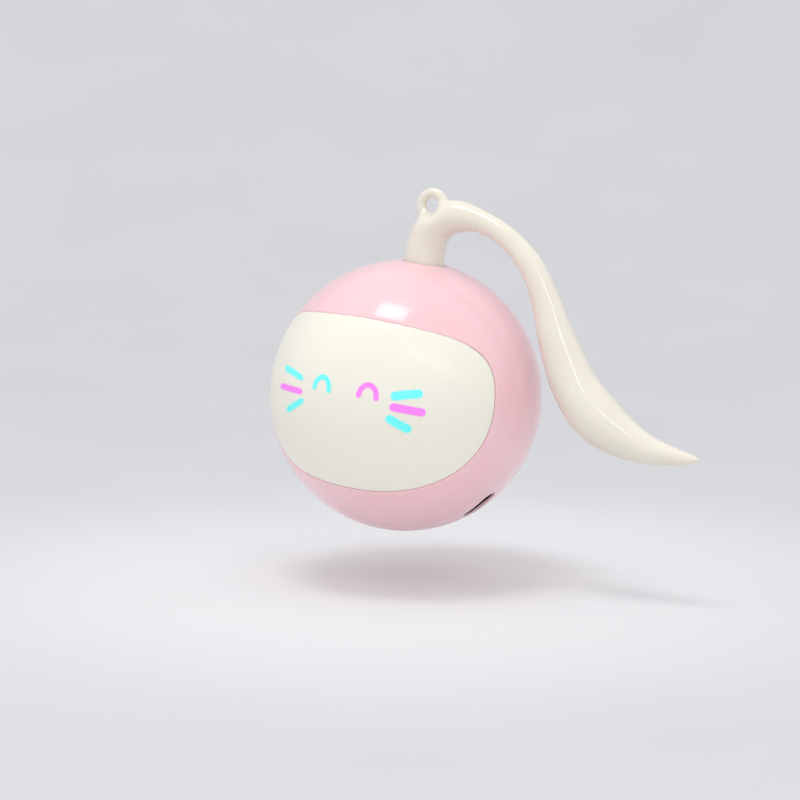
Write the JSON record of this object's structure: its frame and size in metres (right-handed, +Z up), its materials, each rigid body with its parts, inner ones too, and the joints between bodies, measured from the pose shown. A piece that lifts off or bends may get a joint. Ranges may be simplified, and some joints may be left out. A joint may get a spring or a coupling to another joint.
{
  "type": "self rolling cat ball",
  "caption": "Round pet toy with a wrapped face window, a curved swivelling tail with a loop, a sealed charging port and a geared swinging weight inside.",
  "frame": {"origin": "centre of the ball", "axes": "+Z up the axis of the tail's socket, -Y out of the face window, +X towards the side that the tail falls to"},
  "size_m": [0.1002, 0.0599, 0.0764],
  "materials": {
    "pink_silicone": "gloss",
    "cream_abs": "gloss",
    "cream_silicone": "satin",
    "white_pom": "satin",
    "grey_abs": "matt",
    "steel": "bright",
    "black_steel": "blackened",
    "brass": "turned",
    "zinc": "as cast",
    "green_board": "solder mask",
    "black_plastic": "matt",
    "amber_lens": "clear",
    "battery_foil": "foil",
    "grey_foam": "foam",
    "red_lead": "satin",
    "black_lead": "satin",
    "black_rubber": "matt"
  },
  "bodies": {
    "ball": {"battery": "battery_foil", "battery_lead_black": "black_lead", "battery_lead_red": "red_lead", "battery_pad": "grey_foam", "board_screw_1": "black_steel", "board_screw_2": "black_steel", "charger_chip": "black_plastic", "circuit_board": "green_board", "controller_chip": "black_plastic", "front_bush": "brass", "front_shell": "cream_abs", "gear_a_axle": "steel", "gear_b_axle": "steel", "gearbox_base": "grey_abs", "gearbox_cover": "grey_abs", "gearbox_screw_1": "black_steel", "gearbox_screw_2": "black_steel", "gearbox_screw_3": "black_steel", "gearbox_screw_4": "black_steel", "indicator_led": "amber_lens", "jacket": "pink_silicone", "motor_can": "steel", "motor_end_cap": "white_pom", "motor_lead_black": "black_lead", "motor_lead_red": "red_lead", "motor_screw_1": "black_steel", "motor_screw_2": "black_steel", "port_seal": "black_rubber", "rear_bush": "brass", "rear_shell": "cream_abs", "shell_screw_1": "steel", "shell_screw_2": "steel", "shell_screw_3": "steel", "switch_body": "steel", "usb_shell": "steel", "usb_tongue": "black_plastic", "vibration_sensor": "white_pom"},
    "tail": {"tail": "cream_silicone", "tail_stem": "white_pom"},
    "button": {"power_button": "cream_silicone", "switch_plunger": "black_plastic"},
    "swing": {"output_shaft": "steel", "output_gear": "white_pom", "swing_weight": "zinc", "weight_screw": "black_steel"},
    "gear_b": {"gear_b": "white_pom"},
    "gear_a": {"gear_a": "white_pom"},
    "rotor": {"motor_shaft": "steel", "motor_pinion": "brass"}
  },
  "joints": [
    {"name": "tail_swivel", "type": "hinge", "parent": "ball", "child": "tail", "pos_m": [0, 0, 0.028], "axis": [0, 0, 1], "continuous": true},
    {"name": "button_press", "type": "slide", "parent": "ball", "child": "button", "axis": [0.5, 0, 0.866], "range_m": [0, 0.0005], "stiffness_N_per_m": 3000, "springref_m": -0.0004},
    {"name": "weight_swing", "type": "hinge", "parent": "ball", "child": "swing", "pos_m": [0, 0, 0], "axis": [0, 1, 0], "continuous": true},
    {"name": "gear_b_spin", "type": "hinge", "parent": "ball", "child": "gear_b", "pos_m": [-0.01013, 0, -0.00276], "axis": [0, 1, 0], "continuous": true},
    {"name": "gear_a_spin", "type": "hinge", "parent": "ball", "child": "gear_a", "pos_m": [-0.00801, 0, 0.00701], "axis": [0, 1, 0], "continuous": true},
    {"name": "motor_spin", "type": "hinge", "parent": "ball", "child": "rotor", "pos_m": [0, 0, 0.013], "axis": [0, 1, 0], "continuous": true}
  ],
  "couplings": [
    {"joint": "gear_b_spin", "follows": "weight_swing", "ratio": -3.2},
    {"joint": "gear_a_spin", "follows": "weight_swing", "ratio": 9.6},
    {"joint": "motor_spin", "follows": "weight_swing", "ratio": -28.8}
  ]
}
